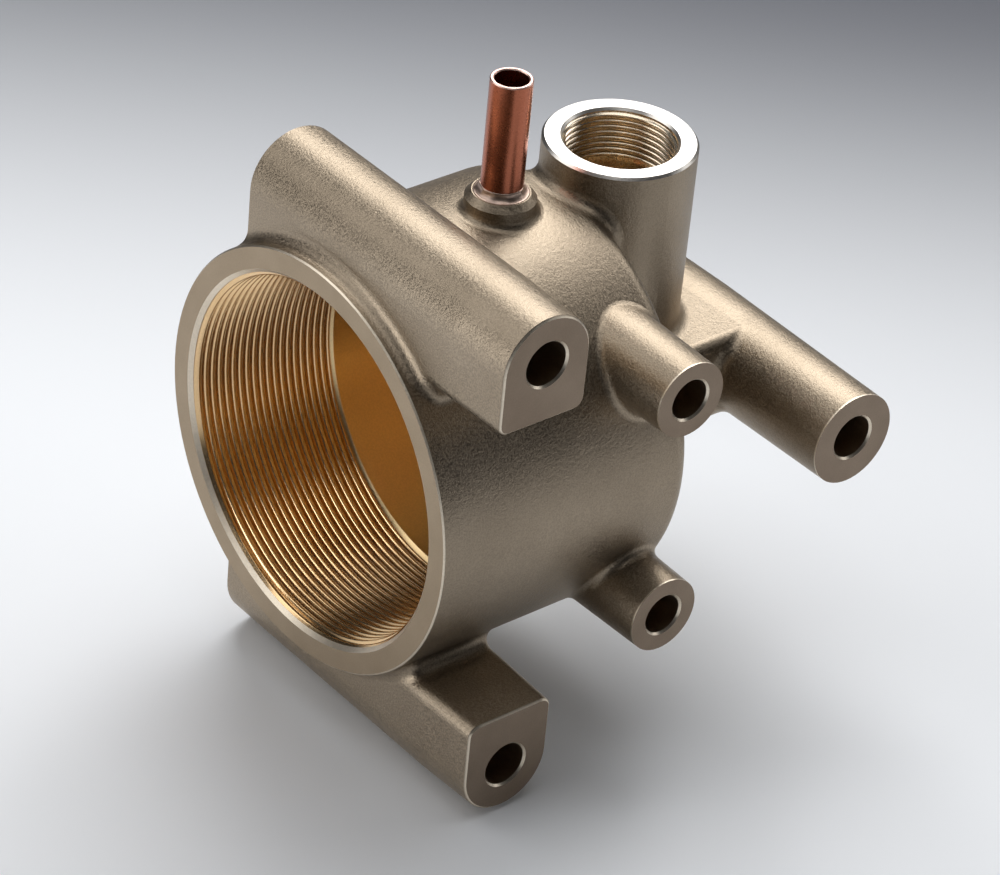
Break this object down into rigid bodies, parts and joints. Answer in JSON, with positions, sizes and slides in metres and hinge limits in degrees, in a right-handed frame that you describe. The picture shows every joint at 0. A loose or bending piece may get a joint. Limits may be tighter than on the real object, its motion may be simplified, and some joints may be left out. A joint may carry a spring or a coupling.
{
  "type": "pump casing",
  "caption": "Cast pump casing: threaded round chamber with drilled bolt lugs on its side, an upright threaded outlet port and a brazed copper tube.",
  "frame": {"origin": "centre of the mouth face, on the axis of the chamber", "axes": "+Y into the chamber along its axis, +Z along the outlet port, +X along the lug bores towards their machined end faces"},
  "size_m": [0.1115, 0.128, 0.1533],
  "materials": {
    "cast_bronze": "sand-cast and blasted skin, machined faces and threads",
    "copper": "drawn tube, darkened by the brazing heat",
    "braze": "bright rippled braze metal"
  },
  "bodies": {
    "root": {"casing": "cast_bronze", "copper_tube": "copper", "braze_fillet": "braze"}
  },
  "joints": []
}
